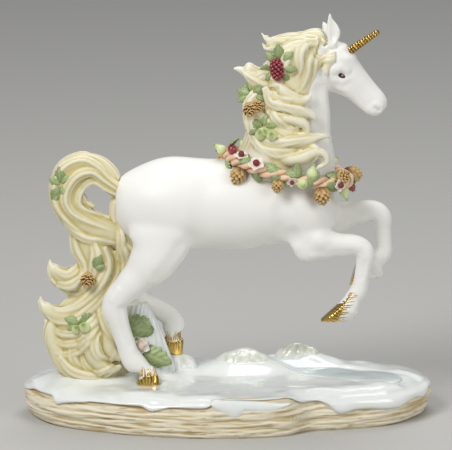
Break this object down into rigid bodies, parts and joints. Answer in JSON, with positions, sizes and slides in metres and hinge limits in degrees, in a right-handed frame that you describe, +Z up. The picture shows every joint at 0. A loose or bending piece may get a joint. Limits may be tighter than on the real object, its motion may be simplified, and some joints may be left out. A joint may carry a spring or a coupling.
{
  "type": "unicorn figurine",
  "caption": "Porcelain unicorn rearing on a snowy rock ledge, with flowing mane and tail, gilded horn and hooves, and a garland of leaves, cones and fruit.",
  "frame": {"origin": "centre of the ledge's flat foot, on the surface it stands on", "axes": "+X the way the unicorn faces, +Y its left side, +Z up"},
  "size_m": [0.2096, 0.0876, 0.2129],
  "materials": {
    "white_bisque": "matte unglazed porcelain",
    "ivory_bisque": "matte tinted porcelain",
    "burnished_gold": "burnished gold on porcelain",
    "snow_glaze": "clear gloss glaze",
    "ice_glaze": "tinted gloss glaze",
    "stone_bisque": "matte tinted porcelain",
    "leaf_enamel": "matte enamel",
    "cone_enamel": "matte enamel",
    "fruit_enamel": "matte enamel",
    "berry_enamel": "satin enamel",
    "blossom_enamel": "matte enamel",
    "vine_enamel": "matte enamel"
  },
  "bodies": {
    "root": {"ear_left": "white_bisque", "ear_right": "white_bisque", "fore_hoof_left": "burnished_gold", "fore_hoof_right": "burnished_gold", "foreleg_left": "white_bisque", "foreleg_right": "white_bisque", "forelock": "ivory_bisque", "front_boulder": "snow_glaze", "garland_berries": "berry_enamel", "garland_blossoms": "blossom_enamel", "garland_cones": "cone_enamel", "garland_leaves": "leaf_enamel", "garland_pears": "fruit_enamel", "garland_vine": "vine_enamel", "head": "white_bisque", "hind_hoof_left": "burnished_gold", "hind_hoof_right": "burnished_gold", "hindleg_left": "white_bisque", "hindleg_right": "white_bisque", "horn": "burnished_gold", "ice_stream": "ice_glaze", "ledge": "stone_bisque", "mane_back_curl": "ivory_bisque", "mane_cones": "cone_enamel", "mane_fall": "ivory_bisque", "mane_leaves": "leaf_enamel", "mane_left_sweep": "ivory_bisque", "mane_left_upper_curl": "ivory_bisque", "mane_mass": "ivory_bisque", "mane_middle_curl": "ivory_bisque", "mane_outer": "ivory_bisque", "mane_pears": "fruit_enamel", "mane_raspberry": "berry_enamel", "mane_spiral": "ivory_bisque", "mane_sweep": "ivory_bisque", "mane_top": "ivory_bisque", "mane_upper_curl": "ivory_bisque", "mane_wisp": "ivory_bisque", "neck": "white_bisque", "rear_boulder": "snow_glaze", "snow_cap": "snow_glaze", "snow_rise": "snow_glaze", "stump_blossom": "blossom_enamel", "stump_leaves": "leaf_enamel", "support_stump": "snow_glaze", "tail_arch": "ivory_bisque", "tail_back_wave": "ivory_bisque", "tail_cones": "cone_enamel", "tail_drop": "ivory_bisque", "tail_front_wave": "ivory_bisque", "tail_leaves": "leaf_enamel", "tail_lower_tip": "ivory_bisque", "tail_middle_wave": "ivory_bisque", "tail_pears": "fruit_enamel", "tail_skirt": "ivory_bisque", "tail_upper_tip": "ivory_bisque", "trunk": "white_bisque"}
  },
  "joints": []
}
